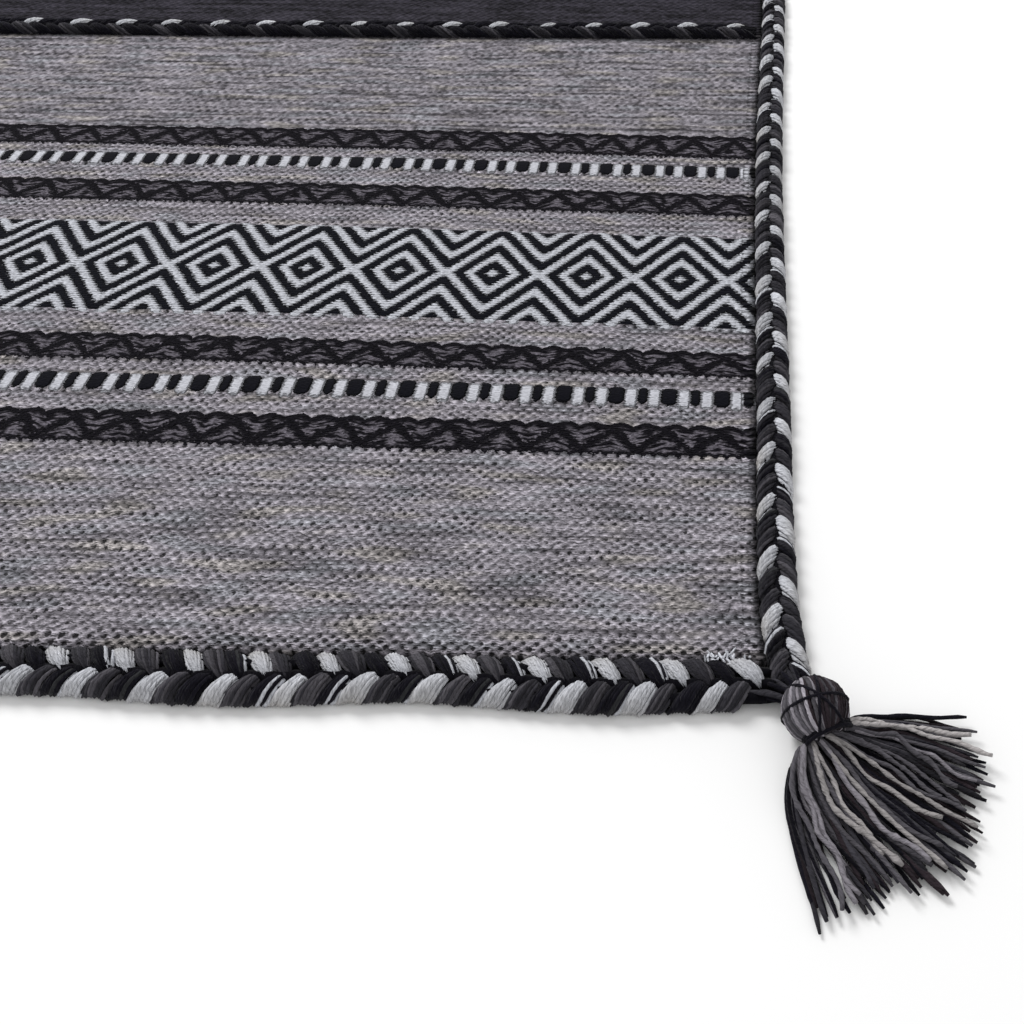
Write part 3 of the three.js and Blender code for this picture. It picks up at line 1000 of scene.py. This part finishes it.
def strand_paths(q, reach, heading, low, high, wave, steps):
    """Paths from the neck to the floor. q is the place in the fan from -1 to 1, low and high are heights."""
    yarns = len(q)
    t = np.linspace(0, 1, steps)[None]
    across = heading_vector(FAN["root_heading"] + 90)
    root_x = FAN["x"] + across[0] * FAN["root"] * q
    root_y = FAN["y"] + across[1] * FAN["root"] * q
    run_x = FAN["x"] + np.cos(heading) * reach - root_x
    run_y = FAN["y"] + np.sin(heading) * reach - root_y
    length = np.hypot(run_x, run_y)
    slow = waves(t, SWEEP["half_waves"], yarns)
    quick = waves(t, CRIMP["half_waves"], yarns)
    sweep = slow * rng.uniform(-SWEEP["size"], SWEEP["size"], (yarns, 1))
    crimp = quick * rng.uniform(-CRIMP["size"], CRIMP["size"], (yarns, 1))
    free = np.minimum(1, 2.2 * t)
    aside = FAN["bulge"] * q * np.sin(np.pi * t**0.75) + free * wave * (sweep + crimp)
    x = root_x + run_x * t - run_y / length * aside
    y = root_y + run_y * t + run_x / length * aside
    z = high + (low - high) * ease(np.clip(t / FAN["on_floor_at"], 0, 1))
    return np.stack([x, y, z + np.zeros_like(x)], -1)


def add_clumps(bundle):
    """Strands in clumps that lie on the floor."""
    spec = CLUMPS
    yarns = spec["yarns"]
    for clump in range(spec["count"]):
        place = (clump + 0.5) / spec["count"] * 2 - 1
        q = np.clip(place + rng.normal(0, spec["off_place"], (yarns, 1)), -1.04, 1.04)
        level = rng.random((yarns, 1))
        uneven = rng.uniform(*spec["clump_reach"]) + rng.uniform(*spec["yarn_reach"], (yarns, 1))
        reach = FAN["reach"] * (1 + uneven) - 3.0 * q
        off = rng.normal(0, spec["off_heading"], (yarns, 1))
        heading = np.radians(FAN["heading"] + FAN["spread"] * q + off)
        radius = FAN["radius"] * rng.uniform(*spec["radius"], (yarns, 1))
        low = radius + level * 3.0
        high = radius + 1.0 + level * 8.0
        path = strand_paths(q, reach, heading, low, high, spec["wave"], spec["steps"])
        radius = radius * rng.normal(1.0, spec["rough"], (yarns, spec["steps"]))
        bundle.add(path, radius, mixed_tones(yarns, FAN_MIX), UPRIGHT)


def add_loose_strands(bundle):
    """Paler strands that wave over the clumps."""
    spec = LOOSE
    yarns = spec["yarns"]
    q = np.linspace(-1, 1, yarns)[:, None] + rng.normal(0, spec["off_place"], (yarns, 1))
    reach = FAN["reach"] * rng.uniform(*spec["reach"], (yarns, 1))
    off = rng.normal(0, spec["off_heading"], (yarns, 1))
    heading = np.radians(FAN["heading"] + FAN["spread"] * q * 0.94 + off)
    radius = FAN["radius"] * rng.uniform(*spec["radius"], (yarns, 1))
    low = rng.uniform(*spec["low"], (yarns, 1))
    path = strand_paths(q * 0.9, reach, heading, low, spec["high"], spec["wave"], spec["steps"])
    radius = radius * rng.normal(1.0, spec["rough"], (yarns, spec["steps"]))
    bundle.add(path, radius, mixed_tones(yarns, LOOSE_MIX), UPRIGHT, 0.8)


def head_axes():
    """Centre of the head, and its directions forward to the fan, across and up."""
    forward = heading_vector(HEAD["heading"]) - HEAD["dip"] * UPRIGHT
    forward /= np.linalg.norm(forward)
    across = heading_vector(HEAD["heading"] + 90)
    return np.array([HEAD["x"], HEAD["y"], HEAD["z"]]), forward, across, np.cross(forward, across)


def add_head_core(bundle):
    """Black ball that fills the head, clear of the floor."""
    centre, forward, _, _ = head_axes()
    place = np.linspace(HEAD_CORE["from"], HEAD_CORE["to"], HEAD_CORE["steps"])
    path = centre + place[:, None] * forward * (HEAD["radius"] - HEAD_CORE["shorter"])
    size = np.sqrt(np.maximum(1 - place**2, 0.02)) * (HEAD["radius"] - HEAD_CORE["thinner"])
    size = np.minimum(size, path[:, 2] - 0.2)
    bundle.add(path[None], size[None], tone("black", 1, 0.0), UPRIGHT, 1.0)


def add_head_yarns(bundle):
    """Yarns drawn over the ball from its top to the neck, with a slight twist."""
    centre, forward, across, up = head_axes()
    yarns = HEAD["yarns"]
    turn = np.radians(np.linspace(HEAD["from_top"], HEAD["to_neck"], HEAD["steps"]))
    angle = (np.arange(yarns)[:, None] + rng.normal(0, 0.2, (yarns, 1))) / yarns * 2 * np.pi
    angle = angle + HEAD["twist"] * turn
    radial = np.cos(angle)[..., None] * across + np.sin(angle)[..., None] * up
    size = HEAD["radius"] * (1 + rng.normal(0, 0.015, (yarns, 1, 1)))
    path = centre + size * (np.sin(turn)[:, None] * radial - np.cos(turn)[:, None] * forward)
    path[..., 2] = np.maximum(path[..., 2], HEAD["yarn_radius"])
    bundle.add(path, HEAD["yarn_radius"], mixed_tones(yarns, HEAD_MIX), forward)


def add_tie(bundle, ring, radius, axis):
    """One black thread round a ring, kept above the floor."""
    ring[:, 2] = np.maximum(ring[:, 2], radius)
    bundle.add(ring[None], radius, tone("black", 1, 0.1), axis)


def add_ties(bundle):
    """Black threads round the neck and over the ball."""
    centre, forward, across, up = head_axes()
    loop = np.linspace(0, 2 * np.pi, TIE_STEPS)[:, None]
    for ahead in NECK_TIES["ahead"]:
        ring = centre + forward * ahead
        ring = ring + NECK_TIES["across"] * np.cos(loop) * across + NECK_TIES["up"] * np.sin(loop) * up
        add_tie(bundle, ring, NECK_TIES["radius"], forward)
    for lean in BALL_TIES["leans"]:
        first = math.cos(math.radians(lean)) * forward + math.sin(math.radians(lean)) * across
        ring = np.cos(loop) * first + np.sin(loop) * up
        ring = centre + (HEAD["radius"] + BALL_TIES["proud"]) * ring
        add_tie(bundle, ring, BALL_TIES["radius"], np.cross(first, up))


def add_corner(bundle):
    """Black yarns that lead from the cloth's corner towards the head."""
    yarns = CORNER["yarns"]
    t = np.linspace(0, 1, CORNER_STEPS)[None]
    start_x = rng.uniform(*CORNER["x"], (yarns, 1))
    start_y = np.clip(CORNER["y_less_x"] + start_x, *CORNER["y"])
    x = start_x + (HEAD["x"] + CORNER["aim"][0] - start_x) * t * CORNER["run"]
    y = start_y + (HEAD["y"] + CORNER["aim"][1] - start_y) * t * CORNER["run"]
    z = rng.uniform(*CORNER["z"], (yarns, 1)) + CORNER["arch"] * np.sin(np.pi * t)
    bundle.add(np.stack([x, y, z], -1), CORNER["radius"], mixed_tones(yarns, CORNER_MIX), UPRIGHT)


def add_tuft(bundle):
    """A tuft of white ends where the two braids meet."""
    yarns = TUFT["yarns"]
    t = np.linspace(0, 1, CORNER_STEPS)[None]
    x = rng.uniform(*TUFT["x"], (yarns, 1)) + rng.uniform(*TUFT["x_run"], (yarns, 1)) * t
    y = rng.uniform(*TUFT["y"], (yarns, 1)) + rng.uniform(*TUFT["y_run"], (yarns, 1)) * t
    z = rng.uniform(*TUFT["z"], (yarns, 1)) - TUFT["drop"] * t
    bundle.add(np.stack([x, y, z], -1), TUFT["radius"], tone("white", yarns, 0.3), UPRIGHT)


def make_tassels(material):
    places = (
        ("tassel_near_right", False, False),
        ("tassel_far_left", True, False),
        ("tassel_near_left", False, True),
        ("tassel_far_right", True, True),
    )
    for name, turned, mirrored in places:
        bundle = Bundle(TASSEL_SIDES)
        add_head_core(bundle)
        add_head_yarns(bundle)
        add_ties(bundle)
        add_clumps(bundle)
        add_loose_strands(bundle)
        add_corner(bundle)
        add_tuft(bundle)
        obj = bundle.build(name + "_yarn", material, "tassel_yarn", turned, mirrored)
        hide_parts(name)


# Floor, light and camera


def make_floor():
    mesh = bpy.data.meshes.new("floor")
    corners = ((-1, -1), (1, -1), (1, 1), (-1, 1))
    points = [(x * FLOOR["half"], y * FLOOR["half"], FLOOR["z"]) for x, y in corners]
    mesh.from_pydata(points, [], [(0, 1, 2, 3)])
    mesh.materials.append(floor_material())
    obj = bpy.data.objects.new("floor", mesh)
    bpy.context.scene.collection.objects.link(obj)


def make_key_light():
    data = bpy.data.lights.new("key", "AREA")
    data.shape = "DISK"
    data.size = KEY_LIGHT["size"]
    data.energy = KEY_LIGHT["power"]
    obj = bpy.data.objects.new("key", data)
    obj.location = KEY_LIGHT["at"]
    direction = Vector(KEY_LIGHT["aim"]) - Vector(KEY_LIGHT["at"])
    obj.rotation_euler = direction.to_track_quat("-Z", "Y").to_euler()
    bpy.context.scene.collection.objects.link(obj)


def make_surround():
    scene = bpy.context.scene
    world = bpy.data.worlds.new("studio")
    scene.world = world
    world.use_nodes = True
    background = world.node_tree.nodes["Background"]
    background.inputs["Color"].default_value = (1.0, 1.0, 1.0, 1.0)
    background.inputs["Strength"].default_value = SURROUND
    scene.view_settings.view_transform = "Standard"
    scene.view_settings.look = "None"


def make_camera():
    data = bpy.data.cameras.new("camera")
    data.lens = CAMERA["lens"]
    data.sensor_width = 36.0
    data.sensor_fit = "HORIZONTAL"
    data.shift_x = CAMERA["shift"]
    data.clip_start = 0.01
    obj = bpy.data.objects.new("camera", data)
    obj.location = CAMERA["at"]
    obj.rotation_euler = (math.radians(90 - CAMERA["down"]), 0.0, math.radians(CAMERA["turn"]))
    bpy.context.scene.collection.objects.link(obj)
    bpy.context.scene.camera = obj


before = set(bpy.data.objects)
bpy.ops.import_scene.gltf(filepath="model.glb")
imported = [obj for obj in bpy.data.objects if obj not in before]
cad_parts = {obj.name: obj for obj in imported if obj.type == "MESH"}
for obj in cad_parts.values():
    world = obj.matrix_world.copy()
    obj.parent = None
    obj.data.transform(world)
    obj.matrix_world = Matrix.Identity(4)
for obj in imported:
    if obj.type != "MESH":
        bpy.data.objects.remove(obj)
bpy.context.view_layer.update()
make_camera()
make_surround()
make_key_light()
make_floor()
make_cloth(cloth_material())
yarn = yarn_material()
make_braids(yarn)
make_tassels(yarn)
